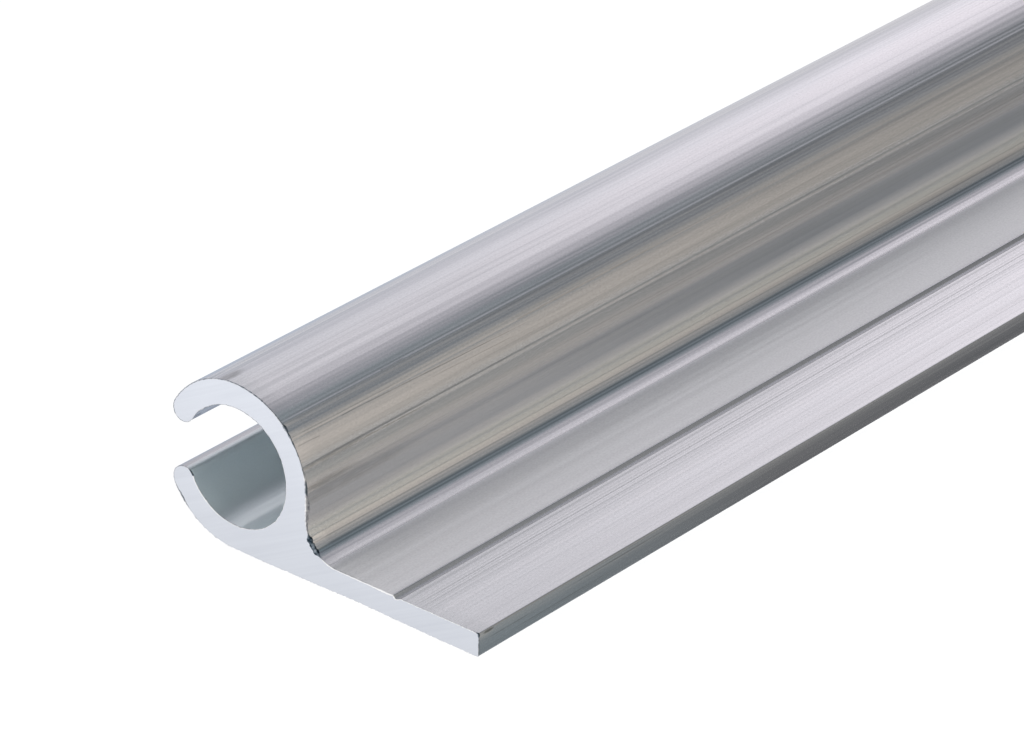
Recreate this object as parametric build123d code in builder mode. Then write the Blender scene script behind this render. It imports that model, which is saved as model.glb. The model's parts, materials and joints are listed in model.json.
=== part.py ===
from build123d import *

import os
from math import sqrt

# Keder rail: one aluminium extrusion, sawn square at both ends.
# A C-shaped channel holds the welt cord of an awning or a tarpaulin. The flange
# runs off the foot of the channel and is screwed down through its drilling groove.
#
# Millimetres. The origin is the centre of the channel's bore at one sawn end,
# +X runs across the flange to its free edge, +Y along the rail and +Z upwards.

# Channel
bore_diameter = 8.0      # takes a 7 to 7.5 mm welt cord
back_wall = 1.55         # between the bore and the flange side
lip_wall = 1.75          # at the lips, the thick side of the ring
mouth_width = 3.2        # slot between the two lips, where the cloth comes out

# Flange
flange_reach = 19.05     # bore centre to free edge
root_thickness = 1.65    # between the fillet and the groove
edge_thickness = 1.6     # between the groove and the free edge
web_fillet = 2.5         # inner corner between channel and flange
edge_rounding = 0.1      # both corners of the free edge

# Drilling groove, an uneven V along the flange: steep towards the channel, at 45
# degrees, and gentle towards the free edge
groove_position = 12.65  # bore centre to the bottom of the V
groove_depth = 0.15      # below the top of the flange's outer strip
groove_run = 0.4         # from the bottom out to the outer strip

# Stock
rail_length = 1000.0

# Derived sizes
bore_radius = bore_diameter / 2
ring_radius = (bore_diameter + back_wall + lip_wall) / 2
ring_shift = (lip_wall - back_wall) / 2
underside = -ring_radius
root_top = underside + root_thickness
edge_top = underside + edge_thickness
groove_bottom = edge_top - groove_depth


def lip_round():
    """Radius and centre of the upper lip's rounded end, a full round.

    Its circle touches the bore from outside and the ring's outline from inside,
    and its lowest point lies on the edge of the mouth.
    """
    half_mouth = mouth_width / 2
    radii = ring_radius + bore_radius
    spread = ring_radius**2 - bore_radius**2 - ring_shift**2
    bend = ring_shift**2 * (bore_radius - half_mouth)
    middle = radii * spread + 2 * bend
    root = sqrt(
        middle**2 - radii**2 * (spread**2 - 4 * bend * (bore_radius + half_mouth))
    )
    radius = (middle + root) / (2 * radii**2)
    height = half_mouth + radius
    return radius, Vector(-sqrt((bore_radius + radius) ** 2 - height**2), height)


def below(point):
    """The same point on the lower lip: the channel is the same above and below."""
    return Vector(point.X, -point.Y)


lip_radius, lip_centre = lip_round()
ring_centre = Vector(-ring_shift, 0)
lip_tip = lip_centre - Vector(0, lip_radius)
lip_inside = lip_centre.normalized() * bore_radius
lip_outside = ring_centre + (lip_centre - ring_centre).normalized() * ring_radius

ring_top = ring_centre + Vector(0, ring_radius)
ring_side = ring_centre + Vector(ring_radius, 0)
ring_bottom = ring_centre - Vector(0, ring_radius)
web_foot = (ring_side.X, root_top)

with BuildPart() as keder_rail:
    with BuildSketch(Plane.XZ) as section:
        with BuildLine():
            # Bore, from the lower lip round the back to the upper lip
            ThreePointArc(below(lip_inside), (bore_radius, 0), lip_inside)
            # Upper lip, over the top of the ring and down the flange side
            ThreePointArc(lip_inside, lip_tip, lip_outside)
            ThreePointArc(lip_outside, ring_top, ring_side)
            Polyline(
                ring_side,
                web_foot,
                (groove_position - (root_top - groove_bottom), root_top),
                (groove_position, groove_bottom),
                (groove_position + groove_run, edge_top),
                (flange_reach, edge_top),
                (flange_reach, underside),
                ring_bottom,
            )
            # Belly of the channel and the lower lip
            TangentArc(ring_bottom, below(lip_outside), tangent=(-1, 0))
            ThreePointArc(below(lip_outside), below(lip_tip), below(lip_inside))
        make_face()
        inner_corner = section.vertices().sort_by_distance(web_foot)[0]
        fillet(inner_corner, radius=web_fillet)
        free_corners = section.vertices().group_by(Axis.X)[-1]
        fillet(free_corners, radius=edge_rounding)
    extrude(amount=-rail_length)
keder_rail.part.label = "keder_rail"

os.makedirs("parts", exist_ok=True)
export_step(keder_rail.part, "parts/keder_rail.step")
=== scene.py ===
import json
import math

import bpy
import numpy as np
from mathutils import Matrix, Vector


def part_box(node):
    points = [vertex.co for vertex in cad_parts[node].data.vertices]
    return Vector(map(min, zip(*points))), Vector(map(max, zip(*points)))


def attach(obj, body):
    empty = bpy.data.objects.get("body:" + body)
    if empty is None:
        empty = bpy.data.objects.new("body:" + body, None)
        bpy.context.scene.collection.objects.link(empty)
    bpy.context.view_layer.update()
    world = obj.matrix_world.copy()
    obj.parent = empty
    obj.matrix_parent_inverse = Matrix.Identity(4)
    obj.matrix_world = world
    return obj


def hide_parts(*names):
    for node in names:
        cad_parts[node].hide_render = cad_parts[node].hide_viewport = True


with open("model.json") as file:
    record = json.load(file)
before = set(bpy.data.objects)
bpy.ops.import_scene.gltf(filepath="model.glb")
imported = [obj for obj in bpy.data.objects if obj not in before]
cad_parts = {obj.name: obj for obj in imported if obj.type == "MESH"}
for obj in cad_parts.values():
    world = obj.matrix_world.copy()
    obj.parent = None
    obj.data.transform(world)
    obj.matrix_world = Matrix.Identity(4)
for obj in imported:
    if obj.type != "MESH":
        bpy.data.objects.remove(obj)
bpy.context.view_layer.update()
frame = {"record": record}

MM = 0.001
NODE = "keder_rail"
chance = np.random.default_rng(11)

# Section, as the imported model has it: x across the flange, z upwards, in metres
low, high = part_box(NODE)
mounts = {mount["name"]: mount for mount in frame["record"]["mounts"]}
rail_length = high.y
flange_reach = high.x
ring_radius = -low.z
bore_radius = mounts["keder_channel"]["dims"]["r_mm"] * MM
groove_x, _, groove_z = mounts["drilling_groove"]["pos_m"]

back_wall = 1.55 * MM
mouth_width = 3.2 * MM
root_thickness = 1.65 * MM
edge_thickness = 1.6 * MM
web_fillet = 2.5 * MM
groove_run = 0.4 * MM
edge_rounding = 0.1 * MM
shoulder_rounding = 0.05 * MM
groove_rounding = 0.02 * MM

web_x = bore_radius + back_wall
ring_centre = np.array((web_x - ring_radius, 0.0))
root_top = low.z + root_thickness
edge_top = low.z + edge_thickness

# How finely the outline is divided, and where the rows of points lie along the rail. Small
# roundings have finer steps, so many to the length of their radius.
fine_step = 0.05 * MM
coarse_step = 0.12 * MM
steps_per_radius = 6
rows_at_end = np.array([1.5, 5.0, 10.0, 17.0, 26.0, 38.0, 52.0, 70.0, 95.0]) * MM
rows_between = 14

# The flange's underside is slightly hollow: x of its deepest line, half its width, its depth
# and how far from the plain underside a point still counts as lying on it
hollow_x = 9.5 * MM
hollow_reach = 7.0 * MM
hollow_depth = 0.08 * MM
hollow_margin = 0.01 * MM

# Waves that the die left round the outline: longest and shortest in metres, usual slope
# in degrees. They change slowly along the rail, at each of these spacings in metres, and
# their weight there lies between these two.
die_waves = [
    (6.0 * MM, 1.5 * MM, 0.45),
    (1.5 * MM, 0.5 * MM, 0.9),
    (0.5 * MM, 0.2 * MM, 1.4),
]
wave_spacings = (1.0, 0.12, 0.05)
wave_weights = (0.4, 1.6)

# Smoother places, on the web and at the fillet's foot: x, z and reach in mm, and the share
# of the waves that is left there
calm_places = [
    (5.55, -0.80, 1.9),
    (7.85, -4.00, 0.7),
]
calm_share = 0.3

# Die lines that stand out: x and z near which each one runs, the widths of its two flanks on
# the way round the outline, and its height, in mm, which is less than 0 for a groove
die_lines = [
    (1.31, 5.47, 0.06, 0.06, -0.004),
    (3.57, 4.30, 0.06, 0.40, 0.013),
    (4.40, 3.40, 0.06, 0.06, -0.006),
    (5.25, 1.84, 0.06, 0.06, -0.008),
    (5.83, -2.65, 0.06, 0.06, -0.006),
    (6.05, -3.00, 0.06, 0.06, -0.007),
    (14.32, -4.05, 0.07, 0.07, -0.004),
    (15.85, -4.05, 0.08, 0.08, -0.004),
    (16.90, -4.05, 0.06, 0.06, -0.004),
    (17.90, -4.05, 0.08, 0.08, -0.005),
]

# Where the section differs from the plain one: x and z, reach and height, in mm. The lower
# lip's end is squarer on its outer side, and the upper lip's is flatter on its inner side.
swells = [
    (-4.80, -1.80, 0.55, 0.10),
    (-3.95, -1.62, 0.55, 0.13),
    (-4.75, 1.80, 0.55, 0.07),
    (-3.50, 1.95, 0.45, -0.12),
    (-3.00, 2.65, 0.40, -0.06),
]

# Sawn ends: the rim is rolled over by the saw, with a slight burr, and torn in places. Its
# waves have the same form as the die's. The shoulder between the side and the burr lies at
# a share of the rim's inset and at a share of its depth.
rim_depth = 0.05 * MM
rim_least = 0.005 * MM
rim_most = 0.03 * MM
rim_waves = (0.8 * MM, 0.2 * MM, 1.0)
shoulder_inset = 0.3
shoulder_depth = 0.35
burr_height = 0.02 * MM
burr_width = 0.02 * MM
burr_waves = (2.0 * MM, 0.3 * MM, 1.0)
burr_full_at = 0.004 * MM    # from this height of its waves on, the burr has its full height

# The chip torn out of the rim at the fillet: x and z, half its length and its depth, in mm,
# how abruptly it ends, and its depth where the rim is least rough, as a share
chip_place = (6.18, -3.06)
chip_reach = 0.74
chip_depth = 0.19
chip_sharpness = 3
chip_least = 0.7

# Where the rim is rolled over more deeply: x, z and reach along the rim, and how much more,
# in mm
rim_rolls = [
    (5.55, -0.90, 1.00, 0.30),
    (5.45, 0.90, 0.60, 0.08),
    (3.85, 4.05, 0.30, 0.10),
]

# Where the rim is nicked: x, z, reach along the rim and depth of the nick in mm, less than 0
# where the metal stands out, and the share of that depth where the rim is least rough
rim_tears = [
    (5.60, -1.20, 1.10, 0.04),
    (5.48, 0.60, 0.40, 0.05),
    (4.35, 3.55, 0.50, 0.04),
    (3.80, 4.10, 0.25, 0.06),
    (3.12, -2.50, 0.16, 0.12),
    (-2.60, -3.04, 1.40, 0.02),
    (-3.55, -1.95, 0.14, 0.06),
    (-3.50, 1.95, 0.50, -0.12),
    (18.95, -4.05, 0.25, 0.05),
]
tear_least = 1 / 3

# Where the burr is wider: x, z and reach in mm, and how much wider, in mm
rim_burrs = [
    (7.30, -3.90, 0.60, 0.03),
    (11.70, -4.00, 0.90, 0.08),
    (9.50, -4.00, 1.40, 0.04),
    (-4.90, 2.60, 1.80, 0.03),
    (-3.50, 4.40, 1.60, 0.03),
    (-4.90, -2.40, 1.00, 0.02),
    (-4.20, -3.50, 0.55, 0.16),
    (0.50, 4.00, 2.60, 0.02),
]

# How light the rim is, as painted shade and painted highlight: x, z and reach in mm, and a
# shade from 0, dark painted shade where the rim is torn, to about 1, a painted glint on a burr.
# Later rows lie over earlier ones.
rim_shades = [
    (5.58, -1.00, 1.20, 0.66),
    (5.50, 0.60, 0.50, 0.40),
    (5.00, 2.40, 0.90, 0.35),
    (4.40, 3.50, 0.50, 0.30),
    (3.85, 4.05, 0.30, 0.32),
    (5.36, 1.18, 0.10, 1.0),
    (6.20, -3.10, 0.75, 0.22),
    (6.03, -2.85, 0.28, 0.10),
    (6.58, -3.43, 0.18, 0.06),
    (-4.90, 2.60, 1.60, 0.30),
    (-3.50, 4.40, 1.60, 0.30),
    (-4.90, -2.40, 1.20, 0.35),
    (-3.30, -4.50, 1.20, 0.40),
    (0.50, 4.00, 2.60, 0.35),
    (-3.50, 2.00, 0.50, 0.45),
    (-2.90, -2.75, 1.10, 0.78),
    (-1.20, -3.80, 0.90, 0.80),
    (-3.60, -1.70, 0.22, 0.0),
    (-3.45, -2.05, 0.12, 1.1),
    (7.45, -3.93, 0.45, 1.0),
    (8.80, -4.00, 1.40, 0.84),
    (10.60, -4.00, 1.20, 0.88),
    (11.90, -4.00, 0.80, 1.1),
    (16.00, -4.05, 3.00, 0.85),
    (19.05, -4.85, 0.70, 0.42),
    (19.05, -4.15, 0.20, 0.25),
]
rim_shade_elsewhere = 0.72

# Where a dark cut runs beside the rim on the sawn face: x, z and reach in mm, and its shade
rim_cuts = [
    (-4.20, -3.50, 0.55, 0.05),
]

# Added to the shade for each ring of the rim, from the side to the face: in most places, and
# in the chip. They paint shade on the side and shoulder and a highlight on the crest and face.
rim_steps = np.array((-0.08, -0.05, 0.20, 0.15))
chip_steps = np.array((-0.10, 0.0, -0.08, -0.05))

# Lines where the die dragged and left the metal dull, and lines of painted shade in the
# fillet's dark band and on the free edge's rounded top corner: x and z of each one, its width
# and strength, with lengths in mm. A line is at its full strength up to the first share of its
# width on both sides and gone at the second.
dull_and_shaded_lines = [
    (1.31, 5.47, 0.10, 0.15),
    (3.68, 4.20, 0.10, 0.20),
    (5.24, 1.85, 0.12, 0.15),
    (5.83, -2.65, 0.10, 0.25),
    (6.05, -3.00, 0.10, 0.30),
    # painted shade in the fillet's dark band
    (6.39, -3.37, 0.11, 0.45),
    (6.53, -3.48, 0.12, 0.60),
    # painted shade on the free edge's rounded top corner
    (19.03, -4.08, 0.14, 0.50),
]
dull_shares = (0.15, 0.7)

# Scratches: degrees round the ring where each starts and ends, then y there, width and
# strength, with lengths in mm. The shares are as for the dull lines, and each scratch fades
# out from a share of its length on.
scratches = [
    (37.6, 36.6, 0.0, 5.5, 0.05, 0.30),
    (36.6, 33.0, 5.5, 23.0, 0.05, 0.65),
    (38.8, 38.0, 0.0, 12.0, 0.06, 0.35),
    (30.8, 29.0, 13.5, 22.0, 0.05, 0.35),
    (32.2, 31.9, 1.3, 2.4, 0.05, 0.45),
    (37.6, 37.3, 22.0, 36.0, 0.09, 0.40),
    (20.0, 19.2, 5.0, 24.0, 0.10, 0.35),
    (18.2, 17.0, 0.0, 13.0, 0.08, 0.65),
    (49.6, 49.5, 10.0, 11.3, 0.06, 0.55),
]
scratch_shares = (0.2, 1.0)
scratch_fades_from = 0.7
scratch_lead = 1.0 * MM      # shown ahead of the start, so that one from y = 0 meets the rim

# Smudges and nicks: x, z and y of the middle, reach round the outline and along it in mm,
# and strength
smudges = [
    (-1.08, 5.56, 0.7, 0.50, 1.4, 0.80),
    (5.27, 1.75, 3.0, 0.25, 4.5, 0.60),
    (5.53, 0.44, 1.8, 0.30, 3.5, 0.60),
    (5.55, -0.20, 4.0, 0.60, 7.0, 0.35),
    (19.05, -4.22, 0.9, 0.14, 0.6, 1.30),
    (19.05, -4.70, 3.0, 0.05, 3.0, 0.60),
    (19.05, -5.10, 8.0, 0.06, 6.0, 0.50),
    (19.05, -4.45, 13.0, 0.06, 6.0, 0.50),
]

# Zones of the mill finish. Some carry painted light in their colour: a painted highlight on
# the flange and its root strip, and painted shade in the groove. Four limits say where a zone
# starts and is full, and where it starts to fade and is gone. The first ones lie across the
# flange, above and below alike, and have x in mm as their limits.
zones_across = {
    # The flange and its root strip take a painted highlight, a lighter colour
    "flange": (7.0, 7.7, 18.98, 19.04),
    "root": (7.15, 8.1, 12.25, 12.45),
    # The groove, its wall and its side take painted shade, a darker colour
    "groove": (12.40, 12.46, 12.62, 13.10),
    "groove_wall": (12.36, 12.42, 12.45, 12.52),
    "groove_side": (12.62, 12.68, 12.71, 12.80),
    "edge": (17.2, 17.6, 18.98, 19.04),
}
bore_ends_at = (4.20, 4.45)                   # mm from the bore's axis
bore_nears_lip = (18.6, 19.4)                 # mm round the outline from its start
# Painted shade on the bore's surface under the upper lip
under_upper_lip = (18.8, 19.4, 21.2, 21.8)    # mm round the outline from its start
on_lower_lip = (2.5, 2.1, 0.9, 0.5)           # mm back from the outline's end
# A painted highlight on the fillet, and a band of painted shade farther round it
fillet_painted_highlight = (2, 16, 26, 34)                # degrees that the side has turned by
fillet_painted_shade = (43, 47, 53, 60)                # degrees that the side has turned by

# The painted shade on the web, darker farther along the rail, starts at an angle round the
# ring in degrees, is full between two z in mm and ends where the fillet has turned the side
# by some degrees. It grows to its strength between two y in mm.
web_starts = 6
web_full = (-0.4, -1.0)
web_ends = 10
web_painted_shade = 0.46
web_painted_shade_grows = (8, 50)

# Streaks and grain of the mill finish: waves per metre across the rail and along it
fine_streaks = (8000.0, 70.0)
medium_streaks = (3200.0, 24.0)
broad_streaks = (900.0, 10.0)
grit_grain = (9000.0, 5000.0)
ragged_grain = (9000.0, 900.0)

# The saw's teeth and wider traces on a sawn end, turned from upright: waves per metre
# towards x, y and z
saw_turn = math.radians(28)
saw_teeth = (90.0, 0.0, 5000.0)
saw_traces = (60.0, 0.0, 900.0)

# Map for a baked picture, as shares of its square: the side takes the first band, and the
# sawn ends lie next to each other in the second. Bands and columns are a start and a size.
side_band = (0.01, 0.9)
end_band = (0.925, 0.07)
end_column = (0.02, 0.46)
far_end_shift = 0.5

# Camera, as the photograph was taken
camera_place = Vector((205.73, -228.95, 169.91)) * MM
camera_azimuth = math.radians(38.895)    # from +Y towards -X
camera_elevation = math.radians(27.988)
camera_roll = math.radians(1.543)
camera_sensor = 36.0                     # mm across, for the lens's length in mm
camera_lens = 206.32

# Studio
WHITE = (1.0, 1.0, 1.0)
soft_light = (0.62, 0.62, 0.64)
floor_tone = (0.8, 0.8, 0.8)
floor_shown = (0.45, 0.45, 0.45)         # the tone that the camera sees, under the glow
floor_glow = 0.775
floor_reach = 40.0
floor_gap = 0.05 * MM                    # below the rail
card_gap = 0.02 * MM

# Tent that the metal reflects: degrees round the rail's axis, from +X towards +Z, and the
# light there, for the part of the tent that the near end reflects and for the part farther
# on. The first turns into the second between the two y, and lengths are in metres.
tent_radius = 2.5
tent_ends = (-0.9, 8.0)
tent_turn = (-12.0, 192.0)
tent_columns = 96
tent_changes = (2.1, 2.9)
tent_near = [
    (-4, (0.36, 0.35, 0.33)),
    (5, (0.48, 0.45, 0.415)),
    (17, (0.62, 0.565, 0.51)),
    (30, (0.57, 0.525, 0.48)),
    (38, (0.40, 0.39, 0.37)),
    (46, (0.34, 0.34, 0.34)),
    (54, (0.20, 0.222, 0.24)),
    (66, (0.24, 0.278, 0.30)),
    (76, (0.295, 0.305, 0.335)),
    (88, (0.40, 0.395, 0.425)),
    (101, (0.555, 0.55, 0.58)),
    (140, (0.59, 0.59, 0.625)),
    (165, (0.56, 0.56, 0.61)),
    (185, (0.42, 0.45, 0.495)),
]
tent_far = [
    (-4, (0.21, 0.21, 0.20)),
    (17, (0.26, 0.25, 0.235)),
    (30, (0.25, 0.24, 0.23)),
    (38, (0.23, 0.23, 0.225)),
    (46, (0.235, 0.235, 0.24)),
    (54, (0.14, 0.145, 0.16)),
    (61, (0.235, 0.24, 0.256)),
    (80, (0.42, 0.41, 0.44)),
    (90, (0.61, 0.58, 0.63)),
    (102, (0.92, 0.87, 0.93)),
    (128, (1.02, 0.96, 1.02)),
    (142, (1.00, 0.965, 1.03)),
    (160, (0.76, 0.74, 0.79)),
    (185, (0.60, 0.60, 0.64)),
]

# Cards that lie on the floor by the rail and that the metal reflects: x and y from and to,
# the light near the sawn end and farther on, and the two y between which one turns into the
# other, with lengths in mm. The edge card is painted shade for the free edge to reflect, and
# the front card greys towards the sawn end as painted shade at the end's foot.
cards = {
    "edge_card": ((19.14, 20.7), (0, 1300), (0.20, 0.23, 0.245), (0.148, 0.15, 0.156), (4, 30)),
    "wall_card": ((20.7, 400), (0, 1300), (0.35, 0.35, 0.335), (0.23, 0.23, 0.23), (20, 90)),
    "left_card": ((-2400, -6), (0, 3000), (0.45, 0.50, 0.59), (0.68, 0.67, 0.70), (20, 110)),
    "front_card": ((-100, 100), (-30, 0), WHITE, (0.90, 0.90, 0.90), (-15, 0)),
}


def in_metres(lengths):
    """Lengths in mm as lengths in metres."""
    return [length * MM for length in lengths]


# Outline

def arc(centre, radius, start, end, step=fine_step):
    """Points along an arc from start to end, in degrees, with the last one left out."""
    count = max(1, math.ceil(abs(math.radians(end - start)) * radius / step))
    turn = np.radians(np.linspace(start, end, count + 1)[:-1])
    return centre + radius * np.column_stack((np.cos(turn), np.sin(turn)))


def line(start, end, step=fine_step):
    """Points along a straight stretch, with the last one left out."""
    count = max(1, math.ceil(math.dist(start, end) / step))
    share = np.linspace(0, 1, count + 1)[:-1, None]
    return start * (1 - share) + end * share


def rounded_run(corners):
    """Straight stretches from the first corner to the last, which is left out.

    A corner is (x, z, radius), and each one between the ends is rounded with its radius.
    """
    at = [np.array(corner[:2]) for corner in corners]
    run, leave = [], at[0]
    for before, corner, after, (_, _, radius) in zip(at, at[1:], at[2:], corners[1:]):
        into = (corner - before) / math.dist(corner, before)
        out = (after - corner) / math.dist(after, corner)
        turn = math.atan2(into[0] * out[1] - into[1] * out[0], into @ out)
        cut = radius * math.tan(abs(turn) / 2)
        side = math.copysign(1, turn) * np.array((-into[1], into[0]))
        enter = corner - into * cut
        start = math.degrees(math.atan2(-side[1], -side[0]))
        step = min(fine_step, radius / steps_per_radius)
        run.append(line(leave, enter))
        run.append(arc(enter + side * radius, radius, start, start + math.degrees(turn), step))
        leave = corner + out * cut
    return np.vstack([*run, line(leave, at[-1])])


def lip_round():
    """Radius and centre of the upper lip's rounded end, a full round.

    Its circle touches the bore from outside and the ring's outline from inside,
    and its lowest point lies on the edge of the mouth.
    """
    shift = -ring_centre[0]
    half_mouth = mouth_width / 2
    radii = ring_radius + bore_radius
    spread = ring_radius**2 - bore_radius**2 - shift**2
    bend = shift**2 * (bore_radius - half_mouth)
    middle = radii * spread + 2 * bend
    root = math.sqrt(middle**2 - radii**2 * (spread**2 - 4 * bend * (bore_radius + half_mouth)))
    radius = (middle + root) / (2 * radii**2)
    height = half_mouth + radius
    return radius, np.array((-math.sqrt((bore_radius + radius) ** 2 - height**2), height))


def section():
    """The closed outline, clockwise seen from the near end, starting at the lower lip."""
    lip_radius, lip = lip_round()
    inside = math.degrees(math.atan2(lip[1], lip[0]))
    outside = math.degrees(math.atan2(lip[1], lip[0] - ring_centre[0]))
    flange = [
        (web_x, 0, 0),
        (web_x, root_top, web_fillet),
        (groove_x - (root_top - groove_z), root_top, shoulder_rounding),
        (groove_x, groove_z, groove_rounding),
        (groove_x + groove_run, edge_top, shoulder_rounding),
        (flange_reach, edge_top, edge_rounding),
        (flange_reach, low.z, edge_rounding),
        (ring_centre[0], low.z, 0),
    ]
    return np.vstack([
        arc((0, 0), bore_radius, -inside, inside, coarse_step),
        arc(lip, lip_radius, inside + 180, outside),
        arc(ring_centre, ring_radius, outside, 0),
        rounded_run(flange),
        arc(ring_centre, ring_radius, -90, -outside),
        arc(lip * (1, -1), lip_radius, 360 - outside, 180 - inside),
    ])


class Outline:
    """The section's points with their distance round it and their outward normals.

    near, patch and place take their lengths in mm.
    """

    patch_gain = 1.6

    def __init__(self, points):
        ahead = np.roll(points, -1, 0) - points
        steps = np.linalg.norm(ahead, axis=1)
        chord = np.roll(points, -1, 0) - np.roll(points, 1, 0)
        chord /= np.linalg.norm(chord, axis=1)[:, None]
        self.points = points
        self.count = len(points)
        self.around = steps.sum()
        self.along = np.concatenate(([0], np.cumsum(steps)[:-1]))
        self.normals = np.column_stack((-chord[:, 1], chord[:, 0]))

    def near(self, x, z, reach):
        """Weight of each point by its distance from (x, z): 1 there, little past reach."""
        return np.exp(-(((self.points / MM - (x, z)) / reach) ** 2).sum(1))

    def patch(self, x, z, reach):
        """The same weight, but stronger, and held at 1 round the middle."""
        return np.clip(self.patch_gain * self.near(x, z, reach), 0, 1)

    def place(self, x, z):
        """Distance round the outline of the point nearest to (x, z)."""
        return self.along[((self.points / MM - (x, z)) ** 2).sum(1).argmin()]

    def fillet_place(self, angle):
        """Distance round the outline of the fillet's point where the side has turned by an
        angle in degrees."""
        turn = math.radians(angle)
        centre = np.array((web_x + web_fillet, root_top + web_fillet))
        return self.place(*(centre - web_fillet * np.array((math.cos(turn), math.sin(turn)))) / MM)

    def ring_place(self, angle):
        """Distance round the outline of the ring's outer side at an angle in degrees."""
        turn = math.radians(angle)
        point = ring_centre + ring_radius * np.array((math.cos(turn), math.sin(turn)))
        return self.place(*point / MM)


outline = Outline(section())


# Relief

def ripple(longest, shortest, slope):
    """A closed random curve round the outline, with waves between two lengths.

    slope is the curve's usual slope in degrees.
    """
    turns = np.arange(math.ceil(outline.around / longest), math.ceil(outline.around / shortest))
    phase = chance.uniform(0, 2 * math.pi, len(turns))
    size = chance.normal(0, 1, len(turns)) / turns
    waves = np.cos(2 * math.pi * np.outer(outline.along / outline.around, turns) + phase) @ size
    usual = 2 * math.pi / outline.around * math.sqrt((size**2 * turns**2).sum() / 2)
    return waves * math.tan(math.radians(slope)) / usual


def drift(rows, spacing):
    """A smooth random weight for each row along the rail."""
    knots = np.arange(-spacing, rail_length + 2 * spacing, spacing)
    return np.interp(rows, knots, chance.uniform(*wave_weights, len(knots)))


def relief(rows):
    """Height of the surface above the plain section, for each point and row."""
    x, z = outline.points.T
    arch = np.cos(np.clip((x - hollow_x) / hollow_reach, -1, 1) * math.pi / 2) ** 2
    hollow = np.where(z < low.z + hollow_margin, hollow_depth * arch, 0.0)
    height = np.outer(-hollow, np.ones(len(rows)))
    for swell_x, swell_z, reach, rise in swells:
        height += rise * MM * outline.near(swell_x, swell_z, reach)[:, None]
    calm = np.ones(outline.count)
    for calm_x, calm_z, reach in calm_places:
        calm -= (1 - calm_share) * outline.near(calm_x, calm_z, reach)
    for longest, shortest, slope in die_waves:
        for spacing in wave_spacings:
            share = slope / math.sqrt(len(wave_spacings))
            height += np.outer(calm * ripple(longest, shortest, share), drift(rows, spacing))
    for line_x, line_z, before, after, rise in die_lines:
        away = outline.along - outline.place(line_x, line_z)
        flank = np.where(away < 0, before, after) * MM
        shape = np.clip(1 - np.abs(away) / flank, 0, 1) * rise * MM
        height += np.outer(shape, drift(rows, wave_spacings[-1]))
    return height


# Rims

def chipped():
    """How far each point of the rim is in the chip, from 0 to 1, with abrupt ends."""
    away = np.linalg.norm(outline.points / MM - chip_place, axis=1)
    return np.clip(chip_sharpness * (1 - away / chip_reach), 0, 1)


def rim_inset():
    """How far the rim is rolled or torn back at each point of one end."""
    waves = ripple(*rim_waves)
    rough = np.clip(0.5 + waves / waves.std() / 3, 0, 1)    # from 0 to 1, and mostly midway
    inset = rim_least + (rim_most - rim_least) * rough**2
    inset += chipped() * chip_depth * MM * (chip_least + (1 - chip_least) * rough)
    for x, z, reach, depth in rim_tears:
        inset += depth * MM * (tear_least + (1 - tear_least) * rough) * outline.near(x, z, reach)
    return inset


def rim_extra(places):
    """What places, such as rim_burrs, add at each point of the rim, in metres."""
    return sum(extra * MM * outline.near(x, z, reach) for x, z, reach, extra in places)


def end_rings(ring, level, outwards):
    """Three rings that close the side's last ring towards one sawn end: the shoulder of
    the rim, its burr and the edge of the sawn face.

    level is the sawn face's y, and outwards is its side, -1 or 1. The side's own ring
    moves to the rim's depth.
    """
    inset = rim_inset()
    burr = np.clip(ripple(*burr_waves) / burr_full_at, 0, 1) * burr_height
    depth = rim_depth + rim_extra(rim_rolls) + np.maximum(inset, 0)
    lean = np.insert(outline.normals, 1, 0, axis=1)
    ring[:, 1] = level - outwards * depth
    shoulder = ring - lean * (inset * shoulder_inset)[:, None]
    shoulder[:, 1] = level - outwards * depth * shoulder_depth
    crest = ring - lean * inset[:, None]
    crest[:, 1] = level + outwards * burr
    face = ring - lean * (inset + burr_width + rim_extra(rim_burrs))[:, None]
    face[:, 1] = level
    return [shoulder, crest, face]


def rim_shade():
    """How light the rim is at each point of the outline: painted shade and painted highlight."""
    shade = np.full(outline.count, rim_shade_elsewhere)
    for x, z, reach, tone in rim_shades:
        shade += (tone - shade) * outline.patch(x, z, reach)
    return shade


def ring_shades(ring_count):
    """The painted shade and highlight of every ring's points: it steps from ring to ring of each
    rim.
    """
    steps = rim_steps[:, None] + np.outer(chip_steps - rim_steps, chipped())
    shades = np.tile(rim_shade() + steps[0], (ring_count, 1))
    shades[:len(steps)] = rim_shade() + steps[::-1]
    shades[-len(steps):] = rim_shade() + steps
    for x, z, reach, tone in rim_cuts:
        for face in (0, -1):
            shades[face] += (tone - shades[face]) * outline.patch(x, z, reach)
    return shades


# Rail

def rail_rings():
    """The rings of points along the rail, from one sawn face to the other."""
    inner = np.linspace(rows_at_end[-1], rail_length - rows_at_end[-1], rows_between + 2)[1:-1]
    rows = np.concatenate(([rim_depth], rows_at_end, inner,
                           rail_length - rows_at_end[::-1], [rail_length - rim_depth]))
    height = relief(rows)
    sides = [np.insert(outline.points + outline.normals * height[:, [i]], 1, y, axis=1)
             for i, y in enumerate(rows)]
    near_end = end_rings(sides[0], 0.0, -1)
    far_end = end_rings(sides[-1], rail_length, 1)
    return [*near_end[::-1], *sides, *far_end]


def ring_faces(ring_count):
    """Quads between the rings, ring by ring, and then the two sawn faces."""
    count = outline.count
    corners = np.arange(count)
    after = np.roll(corners, -1)
    faces = []
    for row in range(ring_count - 1):
        this, that = row * count, (row + 1) * count
        quads = np.column_stack((this + corners, this + after, that + after, that + corners))
        faces += quads.tolist()
    faces.append(corners[::-1].tolist())
    faces.append((corners + (ring_count - 1) * count).tolist())
    return faces


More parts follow.
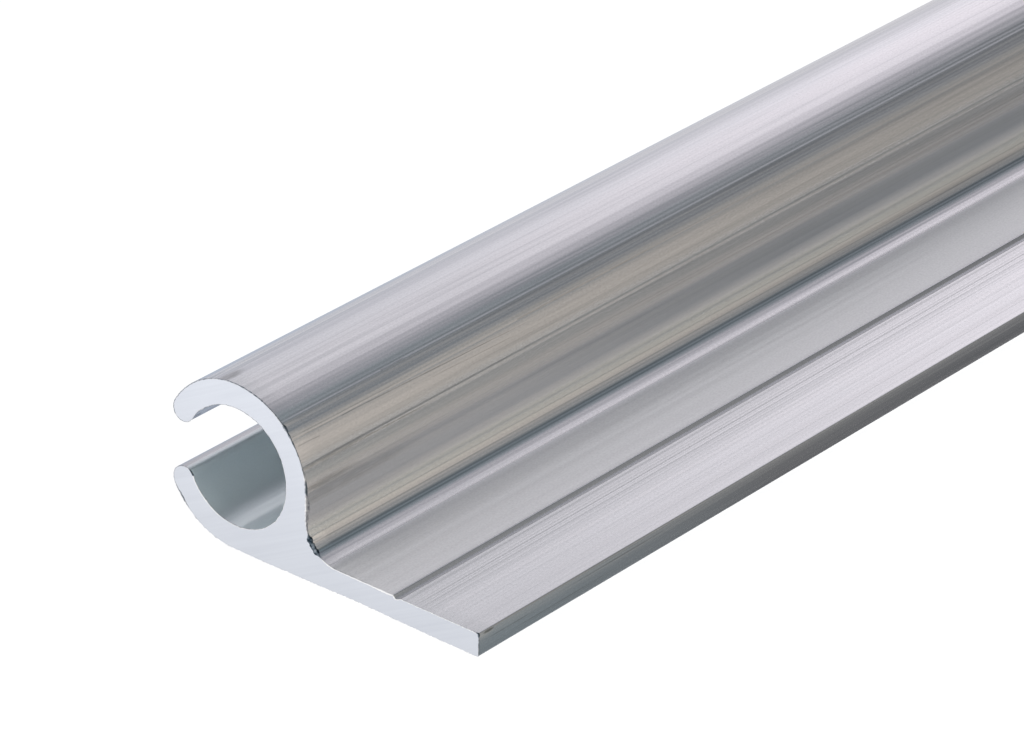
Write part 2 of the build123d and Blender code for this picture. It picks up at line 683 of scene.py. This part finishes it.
def dress(mesh, ring_count):
    """Gives the side, the sawn faces and the rims their materials and shading."""
    for material in (mill_finish(), sawn_finish(), rim_finish()):
        mesh.materials.append(material)
    on_side, on_face, on_rim = range(3)
    quads = (ring_count - 1) * outline.count
    rim_quads = (len(rim_steps) - 1) * outline.count
    finish = np.full(len(mesh.polygons), on_side, np.int32)
    finish[:rim_quads] = on_rim
    finish[quads - rim_quads:quads] = on_rim
    finish[quads:] = on_face
    mesh.polygons.foreach_set("material_index", finish)
    mesh.polygons.foreach_set("use_smooth", finish != on_face)
    # The rims' painted shade and painted highlight, read by rim_finish
    shade = mesh.attributes.new("rim_shade", "FLOAT", "POINT")
    shade.data.foreach_set("value", ring_shades(ring_count).ravel().astype(np.float32))


def lay_out(mesh, ring_count):
    """Two maps: the outline's length against the rail's for the pattern, and the same
    two lengths fitted into one square, with the ends beside them, for a baked picture."""
    vertex = np.empty(len(mesh.loops), np.int32)
    mesh.loops.foreach_get("vertex_index", vertex)
    place = np.empty(len(mesh.vertices) * 3)
    mesh.vertices.foreach_get("co", place)
    place = place.reshape(-1, 3)[vertex]
    side_loops = (ring_count - 1) * outline.count * 4
    round_it = outline.along[vertex % outline.count]
    quads = round_it[:side_loops].reshape(-1, 4)
    last_in_row = np.arange(len(quads)) % outline.count == outline.count - 1
    quads[last_in_row, 1:3] = outline.around
    pattern = np.column_stack((round_it, place[:, 1]))
    pattern[side_loops:] = place[side_loops:, [0, 2]]
    band_start, band_size = side_band
    square = np.column_stack((place[:, 1] / rail_length,
                              band_start + band_size * round_it / outline.around))
    across = (place[side_loops:, 0] - low.x) / (high.x - low.x)
    up = (place[side_loops:, 2] - low.z) / (high.z - low.z)
    far = place[side_loops:, 1] > rail_length / 2
    column_start, column_size = end_column
    band_start, band_size = end_band
    square[side_loops:] = np.column_stack((
        column_start + column_size * across + far_end_shift * far,
        band_start + band_size * up))
    for name, values in (("pattern", pattern), ("OFBake", square)):
        layer = mesh.uv_layers.new(name=name, do_init=False)
        layer.uv.foreach_set("vector", values.astype(np.float32).ravel())


def build_rail():
    """The rail as one closed mesh: sides with their relief, rolled rims and sawn ends."""
    rings = rail_rings()
    mesh = bpy.data.meshes.new("rail")
    mesh.from_pydata(np.vstack(rings).tolist(), [], ring_faces(len(rings)))
    dress(mesh, len(rings))
    lay_out(mesh, len(rings))
    rail = bpy.data.objects.new("rail", mesh)
    bpy.context.scene.collection.objects.link(rail)
    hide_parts(NODE)
    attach(rail, "root")


# Materials

class Graph:
    """Short calls that make and link the nodes of one tree."""

    def __init__(self, owner):
        owner.use_nodes = True
        self.tree = owner.node_tree
        self.tree.nodes.clear()

    def fill(self, socket, value):
        """Links a socket to another one's value or sets it to a plain one."""
        if isinstance(value, bpy.types.NodeSocket):
            self.tree.links.new(value, socket)
        else:
            socket.default_value = value

    def add(self, kind, *values, inputs=None, **settings):
        """A node with its settings, and its inputs by place from values or by name."""
        node = self.tree.nodes.new("ShaderNode" + kind)
        for name, value in settings.items():
            setattr(node, name, value)
        for socket, value in zip(node.inputs, values):
            self.fill(socket, value)
        for name, value in (inputs or {}).items():
            self.fill(node.inputs[name], value)
        return node

    def math(self, operation, *values):
        return self.add("Math", *values, operation=operation).outputs[0]

    def vector(self, operation, *values):
        return self.add("VectorMath", *values, operation=operation).outputs[0]

    def weighted(self, *pairs):
        """The sum of values, each times its weight."""
        total = 0.0
        for value, weight in pairs:
            total = self.math("ADD", total, self.math("MULTIPLY", value, weight))
        return total

    def span(self, value, start, end, to_start=0.0, to_end=1.0, kind="SMOOTHSTEP"):
        """value from start to end as to_start to to_end, held at both ends."""
        node = self.add("MapRange", value, start, end, to_start, to_end, interpolation_type=kind)
        return node.outputs[0]

    def between(self, value, limits):
        """0 before and after a stretch and 1 on it, with a soft rise and fall."""
        rise_start, rise_end, fall_start, fall_end = limits
        return self.math("MULTIPLY", self.span(value, rise_start, rise_end),
                         self.span(value, fall_start, fall_end, 1.0, 0.0))

    def mix(self, share, first, second):
        """The colour from first to second as share goes from 0 to 1."""
        node = self.add("Mix", data_type="RGBA")
        open_sockets = [socket for socket in node.inputs if socket.enabled]
        for socket, value in zip(open_sockets, (share, first, second)):
            self.fill(socket, value)
        return next(socket for socket in node.outputs if socket.enabled)

    def ramp(self, value, stops):
        """A colour ramp with stops of a place from 0 to 1 and a colour."""
        node = self.add("ValToRGB", value)
        elements = node.color_ramp.elements
        while len(elements) < len(stops):
            elements.new(1.0)
        for element, (place, _) in zip(elements, stops):
            element.position = place
        for element, (_, colour) in zip(elements, stops):
            element.color = (*colour, 1.0)
        return node.outputs[0]

    def noise(self, place, scale, detail=2.0, **settings):
        """Noise at a place, which is one number where noise_dimensions is 1D."""
        socket = "W" if settings.get("noise_dimensions") == "1D" else "Vector"
        return self.add("TexNoise", inputs={socket: place, "Scale": scale, "Detail": detail},
                        **settings).outputs[0]


def streaks(graph, uv, waves):
    """Noise drawn out along the rail, with waves per metre across it and along it."""
    stretched = graph.vector("MULTIPLY", uv, (*waves, 0.0))
    return graph.noise(stretched, 1.0, detail=3.0, noise_dimensions="2D")


def line_mark(graph, around, middle, width, shares, strength):
    """A line of a width in mm round the place middle, from its strength down to 0."""
    away = graph.math("ABSOLUTE", graph.math("SUBTRACT", around, middle))
    full, gone = (share * width * MM for share in shares)
    return graph.span(away, full, gone, strength, 0.0)


def scratch_marks(graph, around, along, ragged):
    """Where the scratches lie and how strong they are."""
    total = 0.0
    for start_angle, end_angle, start, end, width, strength in scratches:
        share = graph.span(along, start * MM, end * MM, kind="LINEAR")
        middle = graph.span(share, 0.0, 1.0, outline.ring_place(start_angle),
                            outline.ring_place(end_angle), kind="LINEAR")
        mark = line_mark(graph, around, middle, width, scratch_shares, strength)
        fade = graph.math("MULTIPLY", graph.span(share, scratch_fades_from, 1.0, 1.0, 0.0), ragged)
        begun = graph.math("GREATER_THAN", along, start * MM - scratch_lead)
        mark = graph.math("MULTIPLY", mark, graph.math("MULTIPLY", fade, begun))
        total = graph.math("MAXIMUM", total, mark)
    return total


def smudge_marks(graph, around, along, ragged):
    """Where the smudges and nicks lie and how strong they are."""
    total = 0.0
    for x, z, y, round_reach, along_reach, strength in smudges:
        off_round = graph.math("SUBTRACT", around, outline.place(x, z))
        off_round = graph.math("DIVIDE", off_round, round_reach * MM)
        off_along = graph.math("SUBTRACT", along, y * MM)
        off_along = graph.math("DIVIDE", off_along, along_reach * MM)
        off = graph.math("ADD", graph.math("MULTIPLY", off_round, off_round),
                         graph.math("MULTIPLY", off_along, off_along))
        mark = graph.math("MULTIPLY", graph.span(off, 0.0, 1.0, strength, 0.0), ragged)
        total = graph.math("MAXIMUM", total, mark)
    return total


def dull_and_shaded_marks(graph, around, along):
    """Where the dull lines and the lines of painted shade lie, from 0 to 1: they come and go
    slowly along the rail.
    """
    steady = graph.span(graph.noise(along, 60.0, noise_dimensions="1D"), 0.3, 0.6, 0.6, 1.0)
    total = 0.0
    for x, z, width, strength in dull_and_shaded_lines:
        mark = line_mark(graph, around, outline.place(x, z), width, dull_shares, strength)
        total = graph.math("MAXIMUM", total, mark)
    return graph.math("MULTIPLY", total, steady)


def mill_zones(graph, place, around, along):
    """Where each zone of the mill finish lies, from 0 to 1, by name. Some are painted highlight
    or painted shade.
    """
    x = graph.add("SeparateXYZ", place).outputs["X"]
    zones = {name: graph.between(x, in_metres(limits)) for name, limits in zones_across.items()}
    from_axis = graph.add("VectorMath", graph.vector("MULTIPLY", place, (1.0, 0.0, 1.0)),
                          operation="LENGTH").outputs["Value"]
    in_ring = graph.span(from_axis, *in_metres(bore_ends_at), 1.0, 0.0)
    before_lip = graph.span(around, *in_metres(bore_nears_lip), 1.0, 0.0)
    belly_start = outline.place(ring_centre[0] / MM, low.z / MM)
    past_belly = graph.math("GREATER_THAN", around, belly_start)
    zones["bore"] = graph.math("MULTIPLY", in_ring,
                               graph.math("MAXIMUM", before_lip, past_belly))
    zones["under_upper_lip"] = graph.between(around, in_metres(under_upper_lip))
    zones["lower_lip"] = graph.between(around, outline.around - np.array(on_lower_lip) * MM)
    web_limits = [outline.ring_place(web_starts)]
    web_limits += [outline.place(web_x / MM, z) for z in web_full]
    web_limits += [outline.fillet_place(web_ends)]
    # The web's painted shade grows along the rail
    painted_shade = graph.span(along, *in_metres(web_painted_shade_grows), 0.0, web_painted_shade)
    zones["web"] = graph.math("MULTIPLY", graph.between(around, web_limits), painted_shade)
    for name, angles in (("fillet", fillet_painted_highlight), ("corner", fillet_painted_shade)):
        zones[name] = graph.between(around, [outline.fillet_place(angle) for angle in angles])
    return zones


def mill_finish():
    """Extruded aluminium as it left the die: fine bright and dark lines along the rail,
    smooth on the channel, duller on the flange and dullest inside the bore. Its colour also
    holds painted highlight on the flange and the fillet, and painted shade on the web, in the
    fillet's dark band, in the groove and under the upper lip."""
    material = bpy.data.materials.new("mill_aluminium")
    graph = Graph(material)
    uv = graph.add("UVMap", uv_map="pattern").outputs[0]
    around, along, _ = graph.add("SeparateXYZ", uv).outputs
    place = graph.add("TexCoord").outputs["Object"]
    zones = mill_zones(graph, place, around, along)

    fine = streaks(graph, uv, fine_streaks)
    medium = streaks(graph, uv, medium_streaks)
    broad = streaks(graph, uv, broad_streaks)
    grit = graph.span(streaks(graph, uv, grit_grain), 0.25, 0.75, 0.0, 0.16, kind="LINEAR")
    specks = graph.math("MULTIPLY", grit,
                        graph.span(zones["bore"], 0.0, 1.0, 1.0, 0.3, kind="LINEAR"))
    ragged = graph.span(streaks(graph, uv, ragged_grain), 0.3, 0.6, 0.5, 1.0)
    marks = graph.math("MAXIMUM", scratch_marks(graph, around, along, ragged),
                       smudge_marks(graph, around, along, ragged))

    tone = graph.weighted((fine, 0.35), (medium, 0.35), (broad, 0.3))
    colour = graph.ramp(tone, [(0.32, (0.70, 0.71, 0.73)), (0.48, (0.87, 0.875, 0.89)),
                               (0.64, (0.94, 0.94, 0.955))])
    # What lies over the streaks, in this order: where, how strongly, and its colour
    layers = [
        # painted highlight on the flange
        (zones["flange"], 0.7, (0.97, 0.97, 0.98)),
        # painted shade on the web
        (zones["web"], 1.0, (0.29, 0.34, 0.38)),
        # painted highlight on the flange's root strip
        (zones["root"], 0.45, (0.98, 0.975, 0.99)),
        (zones["edge"], 0.5, (0.84, 0.84, 0.85)),
        # painted shade in the groove
        (zones["groove"], 0.42, (0.50, 0.53, 0.56)),
        (zones["groove_wall"], 0.30, (0.26, 0.30, 0.33)),
        (zones["groove_side"], 0.30, (0.26, 0.30, 0.33)),
        # painted highlight on the fillet
        (zones["fillet"], 1.0, (0.98, 1.0, 1.0)),
        # painted shade in the fillet's dark band
        (zones["corner"], 0.4, (0.30, 0.42, 0.48)),
        # dull die lines, and painted shade at the fillet and the free edge
        (dull_and_shaded_marks(graph, around, along), 1.0, (0.22, 0.26, 0.28)),
        (zones["bore"], 1.0, (0.93, 0.99, 1.0)),
        # painted shade under the upper lip
        (zones["under_upper_lip"], 1.0, (0.55, 0.57, 0.60)),
        (zones["lower_lip"], 0.2, (0.20, 0.19, 0.22)),
        (specks, 1.0, (0.30, 0.30, 0.31)),
        (marks, 1.0, (0.40, 0.40, 0.39)),
    ]
    for where, share, layer in layers:
        colour = graph.mix(graph.math("MULTIPLY", where, share), colour, (*layer, 1.0))

    rough = graph.span(medium, 0.3, 0.7, 0.15, 0.21, kind="LINEAR")
    rough = graph.weighted((rough, 1.0), (zones["root"], 0.32), (zones["bore"], 0.26))
    height = graph.weighted((fine, 1.0), (marks, -0.8))
    bump = graph.add("Bump", inputs={"Distance": 0.002 * MM, "Height": height}).outputs[0]
    shader = graph.add("BsdfPrincipled", inputs={
        "Base Color": colour, "Metallic": 1.0, "Roughness": rough, "Normal": bump,
        "Anisotropic": 0.8, "Anisotropic Rotation": 0.25, "Tangent": (0.0, 1.0, 0.0)})
    graph.add("OutputMaterial", shader.outputs[0])
    return material


def sawn_finish():
    """A sawn end: paler and duller, with faint lines where the teeth passed, and painted shade
    that darkens it towards the bottom.
    """
    material = bpy.data.materials.new("sawn_aluminium")
    graph = Graph(material)
    place = graph.add("TexCoord").outputs["Object"]
    turned = graph.add("Mapping", inputs={
        "Vector": place, "Rotation": (0.0, saw_turn, 0.0)}).outputs[0]
    teeth = graph.noise(graph.vector("MULTIPLY", turned, saw_teeth), 1.0, detail=3.0)
    wide = graph.noise(graph.vector("MULTIPLY", turned, saw_traces), 1.0)
    cloud = graph.noise(place, 160.0)
    tone = graph.weighted((teeth, 0.35), (wide, 0.35), (cloud, 0.3))
    colour = graph.ramp(tone, [(0.36, (0.735, 0.765, 0.835)), (0.50, (0.77, 0.80, 0.868)),
                               (0.64, (0.80, 0.832, 0.90))])
    # Painted shade: the sawn face darkens towards the bottom
    height = graph.add("SeparateXYZ", place).outputs["Z"]
    lower = graph.span(height, 4 * MM, -4 * MM, 0.0, 0.06)
    colour = graph.mix(lower, colour, (0.20, 0.20, 0.22, 1.0))
    bump = graph.add("Bump", inputs={"Distance": 0.003 * MM, "Height": teeth}).outputs[0]
    shader = graph.add("BsdfPrincipled", inputs={
        "Base Color": colour, "Metallic": 1.0, "Roughness": 0.45, "Normal": bump})
    graph.add("OutputMaterial", shader.outputs[0])
    return material


def rim_finish():
    """The rolled rim of a sawn end: a grey line, with dark painted shade where the metal is torn
    and a painted white glint where a burr stands."""
    material = bpy.data.materials.new("rim_aluminium")
    graph = Graph(material)
    shade = graph.add("Attribute", attribute_name="rim_shade").outputs["Fac"]
    grain = graph.noise(graph.add("TexCoord").outputs["Object"], 4500.0)
    uneven = graph.math("ADD", shade, graph.span(grain, 0.3, 0.7, -0.22, 0.22, kind="LINEAR"))
    # From dark painted shade up to a painted white glint
    colour = graph.ramp(uneven, [(0.0, (0.02, 0.035, 0.05)), (0.3, (0.20, 0.24, 0.28)),
                                 (0.55, (0.52, 0.53, 0.57)), (0.95, WHITE)])
    shader = graph.add("BsdfPrincipled", inputs={
        "Base Color": colour, "Metallic": 1.0, "Roughness": 0.35})
    graph.add("OutputMaterial", shader.outputs[0])
    return material


# Studio

def shown_as_background(graph):
    """1 for the rays that show the background: the camera's, and those by way of metal or
    glass."""
    path = graph.add("LightPath").outputs
    through = graph.math("MAXIMUM", path["Is Glossy Ray"], path["Is Transmission Ray"])
    return graph.math("MAXIMUM", path["Is Camera Ray"], through)


def make_world():
    """Soft even light, with a white background."""
    world = bpy.data.worlds.new("studio")
    bpy.context.scene.world = world
    graph = Graph(world)
    colour = graph.mix(shown_as_background(graph), (*soft_light, 1.0), (*WHITE, 1.0))
    graph.add("OutputWorld", graph.add("Background", colour, 1.0).outputs[0])


def add_sheet(name, vertices, faces, material):
    """A part of the studio as a mesh of its own."""
    mesh = bpy.data.meshes.new(name)
    mesh.from_pydata(vertices, [], faces)
    mesh.materials.append(material)
    sheet = bpy.data.objects.new(name, mesh)
    bpy.context.scene.collection.objects.link(sheet)
    return sheet


def add_flat_sheet(name, across, along, z, material):
    """A level sheet at a height z, from and to in x and in y."""
    (x_low, x_high), (y_low, y_high) = across, along
    corners = [(x_low, y_low, z), (x_high, y_low, z), (x_high, y_high, z), (x_low, y_high, z)]
    return add_sheet(name, corners, [(0, 1, 2, 3)], material)


def only_reflected(sheet):
    """Keeps a sheet out of the picture and of the soft light, so only metal shows it."""
    sheet.visible_camera = False
    sheet.visible_diffuse = False
    sheet.visible_shadow = False


def make_floor():
    """A pale floor just under the rail, white to the camera apart from the rail's shadow."""
    material = bpy.data.materials.new("pale_floor")
    graph = Graph(material)
    soft = graph.add("BsdfDiffuse", (*floor_tone, 1.0))
    held = graph.add("BsdfDiffuse", (*floor_shown, 1.0))
    glow = graph.add("Emission", (*WHITE, 1.0), floor_glow)
    white = graph.add("AddShader", held.outputs[0], glow.outputs[0])
    mixed = graph.add("MixShader", shown_as_background(graph), soft.outputs[0], white.outputs[0])
    graph.add("OutputMaterial", mixed.outputs[0])
    material.cycles.emission_sampling = "NONE"
    sides = (-floor_reach, floor_reach)
    add_flat_sheet("floor", sides, sides, low.z - floor_gap, material)


def glow_finish(name, colour_of):
    """A sheet's light, from the colour that colour_of makes of the place."""
    material = bpy.data.materials.new(name)
    graph = Graph(material)
    place = graph.add("TexCoord").outputs["Object"]
    glow = graph.add("Emission", colour_of(graph, graph.add("SeparateXYZ", place).outputs), 1.0)
    graph.add("OutputMaterial", glow.outputs[0])
    material.cycles.emission_sampling = "NONE"
    return material


def make_tent():
    """Half a tube of white and grey cloth and a warm wall, round the rail's axis."""
    first, last = tent_turn

    def cloth(graph, place):
        """The cloth's colour, with its turns counted from straight down, where none hangs."""
        turn = graph.math("ARCTAN2", place["Z"], place["X"])
        from_below = graph.math("WRAP", graph.math("ADD", turn, math.pi / 2), 2 * math.pi, 0.0)
        start, end = (math.radians(angle) + math.pi / 2 for angle in tent_turn)
        share = graph.span(from_below, start, end, kind="LINEAR")
        near, far = (graph.ramp(share, [((angle - first) / (last - first), colour)
                                        for angle, colour in stops])
                     for stops in (tent_near, tent_far))
        return graph.mix(graph.span(place["Y"], *tent_changes, kind="LINEAR"), near, far)

    turns = np.radians(np.linspace(first, last, tent_columns + 1))
    vertices = [(tent_radius * math.cos(turn), y, tent_radius * math.sin(turn))
                for turn in turns for y in tent_ends]
    faces = [(i, i + 1, i + 3, i + 2) for i in range(0, len(vertices) - 2, 2)]
    only_reflected(add_sheet("tent", vertices, faces, glow_finish("tent", cloth)))


def make_card(name, across, along, near, far, fade):
    """A card that lies on the floor by the rail, with near fading into far along it."""
    def tone(graph, place):
        share = graph.span(place["Y"], *in_metres(fade), kind="LINEAR")
        return graph.mix(share, (*near, 1.0), (*far, 1.0))

    only_reflected(add_flat_sheet(name, in_metres(across), in_metres(along), low.z - card_gap,
                                  glow_finish(name, tone)))


def make_camera():
    """The photograph's view."""
    data = bpy.data.cameras.new("camera")
    data.sensor_width = camera_sensor
    data.lens = camera_lens
    data.clip_start = 0.01
    data.clip_end = 100.0
    camera = bpy.data.objects.new("camera", data)
    bpy.context.scene.collection.objects.link(camera)
    level = math.cos(camera_elevation)
    ahead = Vector((-math.sin(camera_azimuth) * level, math.cos(camera_azimuth) * level,
                    -math.sin(camera_elevation)))
    turned = ahead.to_track_quat("-Z", "Y").to_matrix() @ Matrix.Rotation(camera_roll, 3, "Z")
    camera.matrix_world = Matrix.Translation(camera_place) @ turned.to_4x4()
    bpy.context.scene.camera = camera


build_rail()
make_world()
make_floor()
make_tent()
for card, settings in cards.items():
    make_card(card, *settings)
make_camera()
bpy.context.scene.view_settings.view_transform = "Standard"
